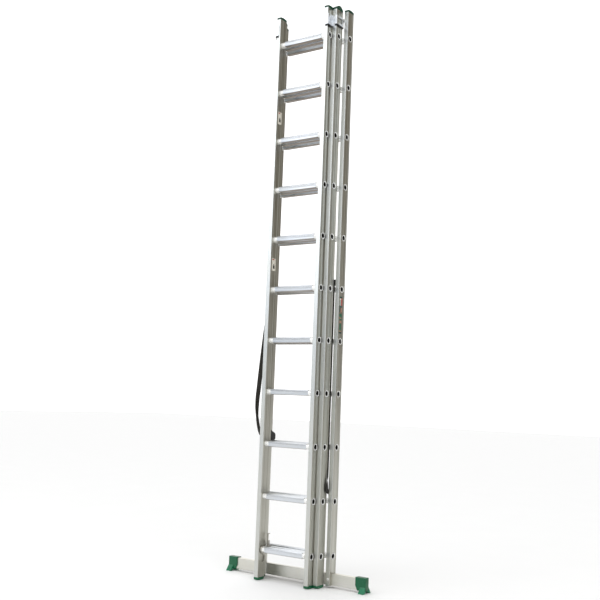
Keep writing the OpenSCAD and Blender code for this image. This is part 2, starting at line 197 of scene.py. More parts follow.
def alloy(name, tone, rough, along, under=0.85, side=0.7, low_darkening=0.0):
    """Mill-finish extruded aluminium: drawing lines along one axis, dull patches and scuffs.
    Painted shade: browner on faces that look down, greyer with painted reflection bands on faces
    that look sideways."""
    mat, tree, shader = new_material(name)
    shader.inputs["Metallic"].default_value = 1.0
    fine = [1.0, 1.0, 1.0]
    fine["XYZ".index(along)] = 0.006
    lines = noise(tree, 900.0, 3.0, 0.7, tuple(fine))
    # painted reflection: stripes along the length, used only in the grey of sideways faces
    bands = noise(tree, 130.0, 2.0, 0.5, tuple(fine))
    patches = noise(tree, 7.0, 5.0, 0.6)
    scuffs = noise(tree, 60.0, 8.0, 0.75, (1.0, 1.0, 0.35))
    normal = axes(tree, "Normal")
    # painted shade masks: faces that look sideways and faces that look down, picked by their
    # normals
    side_shade_mask = ease(tree, math_node(tree, "ABSOLUTE", normal["X"], 0.0), 0.45, 0.95, side)
    under_shade_mask = ease(tree, math_node(tree, "MULTIPLY", normal["Z"], -1.0), 0.2, 0.85, under)
    base = mix(tree, remap(tree, lines, 0.0, 0.55, 0.3, 0.7), tone, tint(tone, (0.8, 0.8, 0.8)))
    base = mix(tree, remap(tree, patches, 0.0, 0.8, 0.4, 0.75), base,
               tint(tone, (0.93, 0.91, 0.86)))
    # painted shade: grey for faces that look sideways, striped by the painted reflection bands
    grey = mix(tree, ease(tree, bands, 0.38, 0.62), tint(tone, (0.72, 0.70, 0.64)),
               tint(tone, (0.38, 0.35, 0.29)))
    base = mix(tree, side_shade_mask, base, grey)
    # greyer and darker towards the floor, from 1.9 m down
    if low_darkening:
        low = ease(tree, axes(tree, "Object")["Z"], 1.9, 0.1, low_darkening)
        base = mix(tree, low, base, tint(tone, (0.62, 0.60, 0.54)))
    # painted shade: brown on faces that look down
    base = mix(tree, under_shade_mask, base, tint(tone, (0.24, 0.17, 0.11)))
    base = mix(tree, remap(tree, scuffs, 0.0, 0.5, 0.62, 0.8), base,
               tint(tone, (0.55, 0.54, 0.52)))
    tree.links.new(base, shader.inputs["Base Color"])
    uneven = math_node(tree, "ADD", remap(tree, lines, -0.07, 0.07),
                       remap(tree, patches, rough - 0.07, rough + 0.09))
    tree.links.new(uneven, shader.inputs["Roughness"])
    bump(tree, shader, lines, 0.25, 0.00012)
    return mat


def paler_alloy(name, tone, rough):
    """Aluminium painted paler and less metallic than the rungs, a painted highlight on the collars
    and rims: rings of fine tool marks.
    """
    mat, tree, shader = new_material(name)
    shader.inputs["Metallic"].default_value = 0.45
    marks = noise(tree, 1500.0, 2.0, 0.5, (1.0, 0.15, 0.15))
    soft = noise(tree, 90.0, 4.0, 0.6)
    base = mix(tree, remap(tree, soft, 0.0, 0.5, 0.45, 0.75), tone, tint(tone, (0.85, 0.84, 0.81)))
    tree.links.new(base, shader.inputs["Base Color"])
    tree.links.new(remap(tree, marks, rough - 0.06, rough + 0.08), shader.inputs["Roughness"])
    bump(tree, shader, marks, 0.2, 0.00008)
    return mat


def plated(name, tone, rough):
    """Zinc-plated steel: soft mottled crystals and small dark specks."""
    mat, tree, shader = new_material(name)
    shader.inputs["Metallic"].default_value = 1.0
    spots = noise(tree, 260.0, 4.0, 0.6)
    clouds = noise(tree, 40.0, 4.0, 0.6)
    base = mix(tree, remap(tree, clouds, 0.0, 0.7, 0.35, 0.7), tone, tint(tone, (0.8, 0.8, 0.8)))
    base = mix(tree, remap(tree, spots, 0.0, 0.5, 0.6, 0.8), base, tint(tone, (0.4, 0.38, 0.35)))
    tree.links.new(base, shader.inputs["Base Color"])
    tree.links.new(remap(tree, spots, rough - 0.08, rough + 0.12), shader.inputs["Roughness"])
    bump(tree, shader, spots, 0.12, 0.00015)
    return mat


def plastic(name, tone, rough=0.42):
    """Moulded plastic: fine spark-eroded grain, flow marks, pale scuffs and dust on top."""
    mat, tree, shader = new_material(name)
    grain = noise(tree, 1900.0, 2.0, 0.6)
    flow = noise(tree, 22.0, 4.0, 0.55, (1.0, 1.0, 0.5))
    scuffs = noise(tree, 150.0, 7.0, 0.75, (0.4, 0.4, 1.0))
    up = axes(tree, "Normal")["Z"]
    dusty = math_node(tree, "MULTIPLY", ease(tree, up, 0.3, 0.95, 0.35),
                      remap(tree, noise(tree, 45.0, 5.0), 0.2, 1.0, 0.35, 0.65))
    base = mix(tree, remap(tree, flow, 0.0, 1.0, 0.35, 0.7), tone, tint(tone, (0.75, 0.75, 0.75)))
    base = mix(tree, remap(tree, scuffs, 0.0, 0.8, 0.60, 0.78), base,
               tuple(min(1.0, c * 1.4 + 0.04) for c in tone))
    base = mix(tree, dusty, base, (0.22, 0.23, 0.20))
    tree.links.new(base, shader.inputs["Base Color"])
    tree.links.new(remap(tree, flow, rough - 0.08, rough + 0.1), shader.inputs["Roughness"])
    shader.inputs["Specular IOR Level"].default_value = 0.45
    bump(tree, shader, grain, 0.18, 0.0001)
    return mat


def webbing_material(name):
    """Black polyester webbing: picks across the width, faint dusty ribs."""
    mat, tree, shader = new_material(name)
    picks = tree.nodes.new("ShaderNodeTexWave")
    picks.wave_type = "BANDS"
    picks.bands_direction = "Z"
    picks.inputs["Scale"].default_value = 210.0
    picks.inputs["Distortion"].default_value = 1.5
    picks.inputs["Detail"].default_value = 2.0
    tree.links.new(mapping(tree, (1, 1, 1)), picks.inputs["Vector"])
    dust = noise(tree, 30.0, 6.0, 0.7)
    base = mix(tree, picks.outputs["Fac"], (0.010, 0.009, 0.007), (0.032, 0.028, 0.021))
    base = mix(tree, remap(tree, dust, 0.0, 0.5, 0.5, 0.8), base, (0.050, 0.047, 0.036))
    tree.links.new(base, shader.inputs["Base Color"])
    tree.links.new(remap(tree, picks.outputs["Fac"], 0.85, 0.65), shader.inputs["Roughness"])
    shader.inputs["Sheen Weight"].default_value = 0.05
    bump(tree, shader, picks.outputs["Fac"], 0.6, 0.0004)
    return mat


# under and side set how strong the painted shade is on downward and sideways faces
M_STILE = alloy("mill_alloy_stiles", (0.84, 0.86, 0.86), 0.34, "Z", side=0.9, low_darkening=0.6)
M_RUNG = alloy("mill_alloy_rungs", (0.70, 0.73, 0.77), 0.30, "X", 0.9, 0.0)
M_BAR = alloy("mill_alloy_bar", (0.76, 0.75, 0.70), 0.40, "X", 0.9, 0.2)
# painted highlight: collars and rims far paler than the rungs
M_COLLAR = paler_alloy("collars_painted_highlight", (0.97, 0.97, 0.95), 0.24)
# near black bore: the tube's oxide, darkened further as painted shade
M_BORE = plated("oxide_and_painted_shade_bore", (0.045, 0.042, 0.038), 0.75)
M_GUIDE = plated("zinc_guides", (0.90, 0.92, 0.95), 0.26)
M_HOOK = plated("zinc_hooks", (0.55, 0.53, 0.48), 0.38)
M_ZINC = plated("zinc_fixings", (0.86, 0.86, 0.85), 0.28)
M_GREEN = plastic("green_plastic", (0.002, 0.115, 0.045))
M_FLAP = plastic("green_plastic_soles", (0.002, 0.200, 0.090), 0.38)
M_CAP = plastic("green_plastic_caps", (0.002, 0.055, 0.028))
M_BLACK = plastic("black_plastic", (0.012, 0.012, 0.012), 0.36)
M_WEB = webbing_material("black_webbing")


# ---------------------------------------------------------------- mesh helpers

SHARP_ANGLE = math.radians(35)    # edges sharper than this stay crisp in modelled pieces
CAD_SHARP_ANGLE = math.radians(30)
BEVEL_ANGLE = math.radians(40)    # edges sharper than this are rounded in CAD pieces


def add(name, bm, materials, body, replaces=()):
    """Turns a bmesh into a piece that rides on a body."""
    bmesh.ops.recalc_face_normals(bm, faces=bm.faces)
    mesh = bpy.data.meshes.new(name)
    bm.to_mesh(mesh)
    bm.free()
    obj = bpy.data.objects.new(name, mesh)
    scene.collection.objects.link(obj)
    for material in materials:
        mesh.materials.append(material)
    mesh.shade_smooth()
    mesh.set_sharp_from_angle(angle=SHARP_ANGLE)
    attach(obj, body)
    if replaces:
        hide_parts(*replaces)
    return obj


def rings_to_mesh(bm, rings, closed=False, kinds=None):
    """Skins a list of rings, each a list of the same number of points. The ends are capped
    unless the last ring joins the first; kinds gives the material of the band that follows
    each ring."""
    made = [[bm.verts.new(p) for p in ring] for ring in rings]
    count = len(made[0])
    pairs = list(zip(made, made[1:]))
    if closed:
        pairs.append((made[-1], made[0]))
    for band, (a, b) in enumerate(pairs):
        for k in range(count):
            n = (k + 1) % count
            face = bm.faces.new((a[k], a[n], b[n], b[k]))
            if kinds:
                face.material_index = kinds[band]
    if not closed:
        bm.faces.new(made[0][::-1])
        bm.faces.new(made[-1])


def block(bm, low, high, radius=0.0, steps=2):
    """A box with rounded edges."""
    part = bmesh.new()
    bmesh.ops.create_cube(part, size=1.0)
    low, high = Vector(low), Vector(high)
    for v in part.verts:
        v.co = Vector((low[k] + (v.co[k] + 0.5) * (high[k] - low[k]) for k in range(3)))
    if radius:
        bmesh.ops.bevel(part, geom=part.edges[:], offset=radius, segments=steps,
                        profile=0.5, affect="EDGES")
    join(bm, part)


def join(bm, part):
    """Copies part into bm and frees it."""
    mesh = bpy.data.meshes.new("part")
    part.to_mesh(mesh)
    part.free()
    bm.from_mesh(mesh)
    bpy.data.meshes.remove(mesh)


def extrusion(outline, axis, start, end, radius=0.0, steps=2):
    """A closed outline pushed along an axis, with its edges rounded."""
    part = bmesh.new()
    place = {"X": lambda a, b, t: (t, a, b), "Y": lambda a, b, t: (a, t, b),
             "Z": lambda a, b, t: (a, b, t)}[axis]
    rings_to_mesh(part, [[place(a, b, t) for a, b in outline] for t in (start, end)])
    bmesh.ops.recalc_face_normals(part, faces=part.faces)
    if radius:
        sharp = [e for e in part.edges if e.calc_face_angle(0) > math.radians(25)]
        bmesh.ops.bevel(part, geom=sharp, offset=radius, segments=steps, profile=0.5,
                        affect="EDGES", clamp_overlap=True)
    return part


def arc(cx, cy, radius, start, end, steps):
    """Points on an arc, angles in degrees."""
    points = []
    for k in range(steps + 1):
        a = math.radians(start + (end - start) * k / steps)
        points.append((cx + radius * math.cos(a), cy + radius * math.sin(a)))
    return points


# ---------------------------------------------------------------- rungs

RUNG = 30 * MM
SEAT_R = RUNG / 2 + 0.5 * MM
END_R = 14.9 * MM     # neck that passes through the stile
BORE_R = 13 * MM
RIM_R = 17.2 * MM     # middle of the flared lip outside the stile
RIM_LIP = 1.15 * MM
RIM_SHADOW_R = 19.4 * MM   # painted shadow: a dark line round the rim
RUNG_COLLAR = 24 * MM  # length of the rounded end beside each stile
STILE_WALL = 1.0 * MM
TREAD, COLLAR, BORE = 0, 1, 2


def rung_face(side):
    """A front or back face from the bottom up: a plain band, a groove, and fine ribs above."""
    half = RUNG / 2
    rows = [(half, -8 * MM), (half, -3.4 * MM), (half - 0.8 * MM, -2.6 * MM),
            (half - 0.8 * MM, -0.2 * MM), (half - 0.2 * MM, 0.6 * MM)]
    for k in range(4):
        z = 1.6 * MM + k * 2.5 * MM
        rows += [(half, z), (half, z + 0.9 * MM), (half - 0.45 * MM, z + 1.4 * MM),
                 (half - 0.45 * MM, z + 2.0 * MM)]
    return [(side * y, z) for y, z in rows[::side]]


def rung_outline():
    """The tread's outline as (y, z): five rounded ribs on top, a shallow channel underneath."""
    half, corner = RUNG / 2, 4 * MM
    points = arc(half - corner, -half + corner, corner, -90, 0, 4)
    points += rung_face(1)
    points += arc(half - corner, half - corner, corner, 12, 90, 4)
    for k in (1.5, 0.5, -0.5, -1.5):
        y = k * 5 * MM
        points += [(y + 1.4 * MM, half), (y + 0.8 * MM, half - 0.9 * MM),
                   (y - 0.8 * MM, half - 0.9 * MM), (y - 1.4 * MM, half)]
    points += arc(-half + corner, half - corner, corner, 90, 168, 4)
    points += rung_face(-1)
    points += arc(-half + corner, -half + corner, corner, 180, 270, 4)
    points += [(-5.2 * MM, -half), (-4.6 * MM, -half + 0.7 * MM),
               (4.6 * MM, -half + 0.7 * MM), (5.2 * MM, -half)]
    return points


OUTLINE = rung_outline()


def rung_ring(x, y, z, round_r, roundness):
    """One ring of a rung: between the tread's outline and a circle of radius round_r."""
    ring = []
    for a, b in OUTLINE:
        length = math.hypot(a, b)
        ca, cb = a / length * round_r, b / length * round_r
        ring.append((x, y + a + (ca - a) * roundness, z + b + (cb - b) * roundness))
    return ring


def hook_x(name):
    """Inner side of a section's rung hooks, which sit on round seats of its lowest rung."""
    return span(f"{name}_hook_right")[0].x


def rung_profile(sec, i):
    """Half a rung, from the tread's end outwards: (x, roundness, radius, material). The
    first middle rung's collar reaches in to the round seats of its hooks."""
    collar = RUNG_COLLAR
    if sec.name == "middle" and i == 1:
        collar = sec.inner - hook_x("middle") + 2 * MM
    start, end = sec.inner - collar, sec.inner - 0.05 * MM
    web = sec.half - STILE_WALL
    rows = [(start - 2.2 * MM, 0.0, SEAT_R, TREAD), (start - 1.4 * MM, 0.12, SEAT_R, TREAD),
            (start - 0.5 * MM, 0.55, SEAT_R, COLLAR), (start, 1.0, SEAT_R - 0.1 * MM, COLLAR)]
    bulge = ((7, 0.0), (5.5, -0.5), (4.5, -0.1), (3, 0.3), (1.2, 0.25), (0, -0.3))
    rows += [(end - a * MM, 1.0, SEAT_R + b * MM, COLLAR) for a, b in bulge]
    rows += [(end, 1.0, END_R, COLLAR), (web + 0.02 * MM, 1.0, END_R, BORE),
             # painted shadow: a flat ring in the bore's dark material round the rim
             (web + 0.02 * MM, 1.0, RIM_SHADOW_R, BORE),
             (web + 0.10 * MM, 1.0, RIM_SHADOW_R - 0.1 * MM, BORE),
             (web + 0.12 * MM, 1.0, RIM_R + 0.8 * MM, COLLAR)]
    for a in range(-60, 121, 30):
        turn = math.radians(a)
        rows.append((web + 0.1 * MM + RIM_LIP * 0.47 * (1 + math.sin(turn)), 1.0,
                     RIM_R + RIM_LIP * math.cos(turn), COLLAR))
    rows += [(web + 1.15 * MM, 1.0, 15.9 * MM, COLLAR), (web + 0.9 * MM, 1.0, 14.6 * MM, COLLAR),
             (web + 0.2 * MM, 1.0, 13.5 * MM, COLLAR), (web - 2.0 * MM, 1.0, BORE_R, BORE)]
    return rows


def make_rung(sec, i):
    node = f"{sec.name}_rung_{i:02d}"
    y, z = sec.axis, sec.rung_z[i - 1]
    rows = rung_profile(sec, i)
    right = [rung_ring(x, y, z, r, t) for x, t, r, kind in rows]
    left = [[(-px, py, pz) for px, py, pz in ring] for ring in reversed(right)]
    kinds = [kind for x, t, r, kind in rows]
    bands = kinds[-2::-1] + [TREAD] + kinds
    bm = bmesh.new()
    rings_to_mesh(bm, left + right, closed=True, kinds=bands)
    return add(f"{node}_formed", bm, (M_RUNG, M_COLLAR, M_BORE), sec.body, [node])


for sec in section.values():
    for i in range(1, RUNGS + 1):
        make_rung(sec, i)


# ---------------------------------------------------------------- caps and plugs

CAP_EDGE = 10 * MM       # height of a cap's sides above the stile
PLUG_TOP = 15.9 * MM     # the plug's flange ends just under the stile
ARCH_STEPS = 24          # steps along a cap's arch and a plug's sole
INSET = 3 * MM           # from the stile's outside to the tongue that fills it
INSET_OUTER = 4 * MM


def cap_outline(sec, rise):
    """Side view of a top cap, as (y, z): a shadow gap on the metal, straight sides, low arch."""
    front, back = sec.front, sec.back
    gap = 0.5 * MM
    low = sec.top + 0.05 * MM
    points = [(front, low + 1.4 * MM), (front + gap, low + 1.2 * MM), (front + gap, low),
              (back - gap, low), (back - gap, low + 1.2 * MM), (back, low + 1.4 * MM)]
    for k in range(ARCH_STEPS + 1):
        t = k / ARCH_STEPS
        points.append((back - sec.depth * t, sec.top + CAP_EDGE + rise * (1 - (2 * t - 1) ** 2)))
    return points


def make_caps(sec):
    node = sec.name + "_top_caps"
    rise = span(node)[1].z - sec.top - CAP_EDGE
    bm = bmesh.new()
    for side in (-1, 1):
        x0, x1 = sorted((side * sec.inner, side * sec.half))
        join(bm, extrusion(cap_outline(sec, rise), "X", x0, x1, 1.3 * MM, 3))
        a, b = sorted((side * (sec.inner + INSET), side * (sec.half - INSET_OUTER)))
        block(bm, (a, sec.front + INSET, sec.top - 30 * MM),
              (b, sec.back - INSET, sec.top + 1 * MM), 0.6 * MM)
    add(node + "_moulded", bm, (M_CAP,), sec.body, [node])


def plug_outline(sec):
    """Side view of a foot plug: flat top and a rounded sole with shallow treads."""
    radius = 110 * MM
    front, back = sec.front, sec.back
    points = [(back, PLUG_TOP), (front, PLUG_TOP)]
    for k in range(ARCH_STEPS + 1):
        y = front + (back - front) * k / ARCH_STEPS
        lift = radius - math.sqrt(radius ** 2 - (y - sec.axis) ** 2)
        tread = 0.9 * MM if k % 3 == 1 and 1 < k < ARCH_STEPS - 1 else 0.0
        points.append((y, lift + tread))
    return points


def make_plugs(sec):
    node = sec.name + "_foot_plugs"
    bm = bmesh.new()
    for side in (-1, 1):
        x0, x1 = sorted((side * sec.inner, side * sec.half))
        join(bm, extrusion(plug_outline(sec), "X", x0, x1, 0.5 * MM))
        a, b = sorted((side * (sec.inner + INSET), side * (sec.half - INSET_OUTER)))
        block(bm, (a, sec.front + INSET, 15 * MM), (b, sec.back - INSET, 44 * MM), 0.6 * MM)
    add(node + "_moulded", bm, (M_GREEN,), sec.body, [node])


for sec in section.values():
    make_caps(sec)
make_plugs(section["front"])
make_plugs(section["middle"])


# ---------------------------------------------------------------- bar feet

FOOT_WALL = 4 * MM
FOOT_FIT = 0.05 * MM     # between the sleeve and the bar
MOUTH_CUT = 36 * MM      # below this height the sleeve's mouth slants away from the ladder
MOUTH_SLANT = 0.5
SOLE_LENGTH = 31 * MM
FRAME_W = 3 * MM         # raised frame on the sleeve's sides, and its distance from the ends
FRAME_PROUD = 0.9 * MM
FLAP_RIBS = 4
RIB_W, RIB_STEP = 2.2 * MM, 7.3 * MM


def sleeve_loop(half, z0, z1, radius):
    """Rounded rectangle as (y, z) from the middle line, with a point on each side at the
    mouth's cut."""
    return (arc(half - radius, z0 + radius, radius, -90, 0, 4) + [(half, MOUTH_CUT)]
            + arc(half - radius, z1 - radius, radius, 0, 90, 4)
            + arc(-half + radius, z1 - radius, radius, 90, 180, 4) + [(-half, MOUTH_CUT)]
            + arc(-half + radius, z0 + radius, radius, 180, 270, 4))


def flap_outline(half, sole, bottom):
    """A splayed flap as (y, z) away from the bar, with three treads in its sole."""
    points = [(half - 2 * MM, 32.5 * MM), (half + 0.4 * MM, 31 * MM),
              (sole - 0.7 * MM, 4.2 * MM), (sole, 2.6 * MM), (sole, 0.0)]
    for k in (3, 2, 1):
        y = sole * 0.6 + k * sole / 10
        points += [(y + 1.1 * MM, 0.0), (y + 0.8 * MM, 1.5 * MM),
                   (y - 0.8 * MM, 1.5 * MM), (y - 1.1 * MM, 0.0)]
    return points + [(sole * 0.6, 0.0), (half - 8 * MM, bottom)]


def rib_outline(half, sole):
    """A rib down a flap's slope, as (y, z) away from the bar."""
    return [(half + 1.4 * MM, 31.2 * MM), (sole + 0.2 * MM, 5.0 * MM),
            (sole - 3 * MM, 4 * MM), (half - 1 * MM, 28 * MM)]


def make_bar_foot(side_name):
    """A sleeve closed at the bar's end, with a slanted mouth, and a splayed flap on each side."""
    side = SIDES[side_name]
    node = "bar_foot_" + side_name
    low, high = span(node)
    bar_low, bar_high = span("stabiliser_bar")
    outer = max(abs(low.x), abs(high.x))
    inner = min(abs(low.x), abs(high.x))
    mid = (low.y + high.y) / 2
    sole = (high.y - low.y) / 2
    half = (bar_high.y - bar_low.y) / 2 + FOOT_WALL
    bottom, top = bar_low.z - 2 * MM, high.z

    def ring(x, inset, slanted=False, bore=False):
        if bore:
            loop = sleeve_loop(half - FOOT_WALL + FOOT_FIT, bar_low.z - FOOT_FIT + inset,
                               bar_high.z + FOOT_FIT, 1.8 * MM)
        else:
            loop = sleeve_loop(half - inset, bottom + inset, top - inset, 2.2 * MM)
        return [(side * (x + (max(0.0, MOUTH_CUT - z) * MOUTH_SLANT if slanted else 0.0)),
                 mid + y, z) for y, z in loop]

    bm = bmesh.new()
    rings_to_mesh(bm, [
        ring(outer - FOOT_WALL + FOOT_FIT, 0.0, bore=True),
        ring(inner + 0.6 * MM, 0.0, True, True),
        ring(inner, 0.9 * MM, True), ring(inner + 0.9 * MM, 0.0, True),
        ring(outer - 1.8 * MM, 0.0), ring(outer - 0.6 * MM, 0.5 * MM),
        ring(outer, 1.7 * MM)])

    x_in, x_out, z_top = inner + FRAME_W, outer - FRAME_W, top - 3.5 * MM
    bars = ((x_in, x_out, z_top - FRAME_W), (x_in, x_in + FRAME_W, MOUTH_CUT),
            (x_out - FRAME_W, x_out, MOUTH_CUT - 2 * MM))
    sole_x = outer - SOLE_LENGTH
    flaps = bmesh.new()
    for s in (-1, 1):
        face = mid + s * half
        for x0, x1, z0 in bars:
            a, b = sorted((side * x0, side * x1))
            block(bm, (a, face - FRAME_PROUD, z0), (b, face + FRAME_PROUD, z_top), 0.7 * MM)
        outline = [(mid + s * y, z) for y, z in flap_outline(half, sole, bottom)]
        a, b = sorted((side * sole_x, side * outer))
        join(flaps, extrusion(outline, "X", a, b, 0.5 * MM))
        rib = [(mid + s * y, z) for y, z in rib_outline(half, sole)]
        for k in range(FLAP_RIBS):
            x = sole_x + 4.5 * MM + k * RIB_STEP
            a, b = sorted((side * x, side * (x + RIB_W)))
            join(flaps, extrusion(rib, "X", a, b, 0.4 * MM, 1))
    for face in flaps.faces:
        face.material_index = 1
    join(bm, flaps)
    add(node + "_moulded", bm, (M_GREEN, M_FLAP), "rear_section", [node])


for side_name in SIDES:
    make_bar_foot(side_name)


# ---------------------------------------------------------------- straps

MID_Y = -span("front_stile_right")[0].y  # the CAD's own y = 0 is the front stiles' front

LEFT_ROUTE = [
    ((-195, 110, 1612), (1, 0, 0)), ((-195, 110, 1575), (1, 0, 0)),
    ((-197.5, 111.5, 1556), (1, 0.25, 0)), ((-202, 113, 1537), (1, 0.8, 0)),
    ((-205.5, 109, 1518), (0.6, 1, 0)), ((-207.5, 101, 1499), (0.2, 1, 0)),
    ((-209.5, 94, 1481), (0.1, 1, 0)), ((-213, 90, 1459), (0.12, 1, 0)),
    ((-219, 90, 1420), (0.3, 1, 0)), ((-227, 90, 1372), (0.6, 1, 0)),
    ((-232, 90, 1330), (0.8, 0.9, 0)), ((-236.5, 90, 1287), (1, 0.8, 0)),
    ((-245.5, 90, 1203), (1, 0.7, 0)), ((-254.5, 90, 1111), (1, 0.7, 0)),
    ((-263, 90, 1016), (0.9, 0.8, 0)), ((-266.5, 90, 985), (0.75, 0.9, 0)),
    ((-268.7, 90, 955), (0.6, 1, 0)), ((-269.5, 90, 910), (0.3, 1, 0)),
    ((-267, 91, 868), (0, 1, 0)), ((-262, 93, 832), (0, 1, 0.15)),
    ((-256, 97, 798), (0, 1, 0.4)), ((-251, 104, 774), (0, 0.8, 0.8)),
    ((-246, 117, 760), (0, 0.3, 1)), ((-243, 136, 755), (0, 0, 1)),
    ((-243, 156, 753), (0, 0, 1)), ((-239, 166, 753), (0, 0, 1)), ((-230, 170, 753), (0, 0, 1)),
    ((-208, 171, 753), (0, 0, 1)), ((-195, 170, 753), (0, 0, 1)), ((-190, 165, 753), (0, 0, 1)),
    ((-190, 160, 753), (0, 0, 1))]
RIGHT_ROUTE = [
    ((195, 110, 1612), (1, 0, 0)), ((195, 110, 1500), (1, 0, 0)), ((195, 110, 1350), (1, 0, 0)),
    ((194.6, 110, 1200), (1, 0, 0)), ((194.6, 110, 1050), (1, 0, 0)),
    ((194.6, 110, 900), (1, 0, 0)), ((195, 110, 760), (1, 0, 0)), ((195, 110, 640), (1, 0, 0)),
    ((197, 110.5, 600), (1, -0.25, 0)), ((201, 111, 570), (1, -0.8, 0)),
    ((205, 107.5, 545), (0.6, -1, 0)), ((207.5, 101, 525), (0.2, -1, 0)),
    ((208, 98, 512), (0, -1, 0)), ((208, 98, 505), (0, -1, 0)),
    ((208, 99.2, 498.9), (0, -0.92, -0.38)), ((208, 102.7, 493.7), (0, -1, -1)),
    ((208, 107.9, 490.2), (0, -0.38, -0.92)), ((208, 114, 489), (0, 0, -1)),
    ((208, 117, 489), (0, 0, -1))]
STRAP_W = 25 * MM
STRAP_T = 2 * MM


def spline(points, per):
    """Catmull-Rom through the points, with per steps between each two."""
    out = []
    for k in range(len(points) - 1):
        p0 = points[max(k - 1, 0)]
        p1, p2 = points[k], points[k + 1]
        p3 = points[min(k + 2, len(points) - 1)]
        for j in range(per):
            t = j / per
            out.append(0.5 * ((2 * p1) + (p2 - p0) * t + (2 * p0 - 5 * p1 + 4 * p2 - p3) * t ** 2
                              + (3 * p1 - p0 - 3 * p2 + p3) * t ** 3))
    out.append(points[-1])
    return out


def strap_outline():
    """Across the webbing, as (across, thickness): thick selvedges and five low ribs."""
    half, t = STRAP_W / 2, STRAP_T / 2
    points = []
    for sign in (1, -1):
        steps = 22
        for k in range(steps + 1):
            u = 1 - 2 * k / steps
            x = u * (half - 0.5 * MM) * sign
            rib = 0.16 * MM * (0.5 + 0.5 * math.cos(u * 11 * math.pi))
            points.append((x, sign * (t - 0.32 * MM + rib)))
        points.append((-half * sign, 0.0))
    return points


def make_strap(name, node, route):
    at = [Vector(p) * MM - Vector((0, MID_Y, 0)) for p, w in route]
    across = [Vector(w) for p, w in route]
    at, across = spline(at, 6), spline(across, 6)
    bm = bmesh.new()
    rings = []
    outline = strap_outline()
    for k, p in enumerate(at):
        along = (at[min(k + 1, len(at) - 1)] - at[max(k - 1, 0)]).normalized()
        wide = (across[k] - along * across[k].dot(along)).normalized()
        flat = along.cross(wide)
        rings.append([p + wide * a + flat * b for a, b in outline])
    rings_to_mesh(bm, rings)
    strap = add(name, bm, (M_WEB,), "rear_section", [node])


make_strap("webbing_left", "strap_left", LEFT_ROUTE)
make_strap("webbing_right", "strap_right", RIGHT_ROUTE)


# ---------------------------------------------------------------- stickers

def sticker_material(name, paper, patches):
    """A printed sticker without lettering: plain patches of colour, each (y0, y1, z0, z1,
    colour) in metres on the sticker's plane."""
    mat, tree, shader = new_material(name)
    place = axes(tree, "Object")
    color = paper
    for y0, y1, z0, z1, tone in patches:
        inside = None
        for axis, low, high in (("Y", y0, y1), ("Z", z0, z1)):
            for test, edge in (("GREATER_THAN", low), ("LESS_THAN", high)):
                passed = math_node(tree, test, place[axis], edge)
                inside = passed if inside is None else math_node(tree, "MULTIPLY", inside, passed)
        color = mix(tree, inside, color, tone)
    grime = remap(tree, noise(tree, 80.0, 5.0), 0.0, 0.35, 0.45, 0.8)
    color = mix(tree, grime, color, (0.35, 0.34, 0.31))
    tree.links.new(color, shader.inputs["Base Color"])
    tree.links.new(remap(tree, noise(tree, 200.0), 0.3, 0.5), shader.inputs["Roughness"])
    return mat


def make_sticker(name, body, x, y0, y1, z0, z1, paper, patches):
    """A thin sticker on a face that looks towards +x at x; patches are in fractions of it."""
    bm = bmesh.new()
    corner = 1.0 * MM
    outline = (arc(y1 - corner, z1 - corner, corner, 0, 90, 5)
               + arc(y0 + corner, z1 - corner, corner, 90, 180, 5)
               + arc(y0 + corner, z0 + corner, corner, 180, 270, 5)
               + arc(y1 - corner, z0 + corner, corner, 270, 360, 5))
    join(bm, extrusion(outline, "X", x + 0.05 * MM, x + 0.25 * MM))
    placed = [(y0 + (y1 - y0) * a, y0 + (y1 - y0) * b, z0 + (z1 - z0) * c, z0 + (z1 - z0) * d,
               tone) for a, b, c, d, tone in patches]
    add(name, bm, (sticker_material(name, paper, placed),), body)


STICKER_HEIGHTS = (1.700, 2.535)
SMALL_HALF_Y, SMALL_HALF_Z = 17 * MM, 35 * MM
LONG_Z = (1.322, 1.520)


def make_stickers():
    """Two small stickers inside the left front stile, and a long one on the right rear stile."""
    front, rear = section["front"], section["rear"]
    cream, red, ink = (0.80, 0.76, 0.66), (0.42, 0.06, 0.05), (0.02, 0.02, 0.02)
    for n, z in enumerate(STICKER_HEIGHTS):
        make_sticker(f"sticker_small_{n}", front.body, -front.inner, front.axis - SMALL_HALF_Y,
                     front.axis + SMALL_HALF_Y, z - SMALL_HALF_Z, z + SMALL_HALF_Z, cream,
                     [(0.1, 0.6, 0.86, 0.95, red), (0.3, 0.75, 0.18, 0.42, ink),
                      (0.42, 0.63, 0.42, 0.55, ink)])
    dark, green, teal = (0.008, 0.050, 0.040), (0.010, 0.110, 0.055), (0.006, 0.060, 0.065)
    brown, pink, grey = (0.16, 0.12, 0.08), (0.42, 0.22, 0.16), (0.36, 0.40, 0.36)
    patches = [(0.0, 1.0, 0.965, 1.0, dark), (0.0, 0.6, 0.755, 0.955, grey),
               (0.10, 0.5, 0.915, 0.95, cream), (0.55, 1.0, 0.755, 0.955, red),
               (0.0, 1.0, 0.71, 0.75, teal), (0.0, 0.45, 0.58, 0.70, dark),
               (0.45, 0.9, 0.58, 0.69, pink), (0.45, 1.0, 0.41, 0.54, green),
               (0.0, 0.45, 0.46, 0.53, green), (0.2, 0.8, 0.40, 0.43, pink),
               (0.0, 1.0, 0.36, 0.40, green), (0.3, 0.8, 0.29, 0.34, pink),
               (0.15, 0.85, 0.07, 0.27, green), (0.1, 0.8, 0.055, 0.075, pink),
               (0.0, 1.0, 0.0, 0.04, dark)]
    make_sticker("sticker_long", rear.body, rear.half - STILE_WALL, rear.axis - 19 * MM,
                 rear.axis + 8 * MM, *LONG_Z, brown, patches)


make_stickers()


# ---------------------------------------------------------------- guide shade strips, painted shade

SHADE_STRIP_T = 2.3 * MM
SHADE_STRIP_DROP = 10 * MM     # how far the strips show below the guides
SHADE_STRIP_INSET = 0.1 * MM


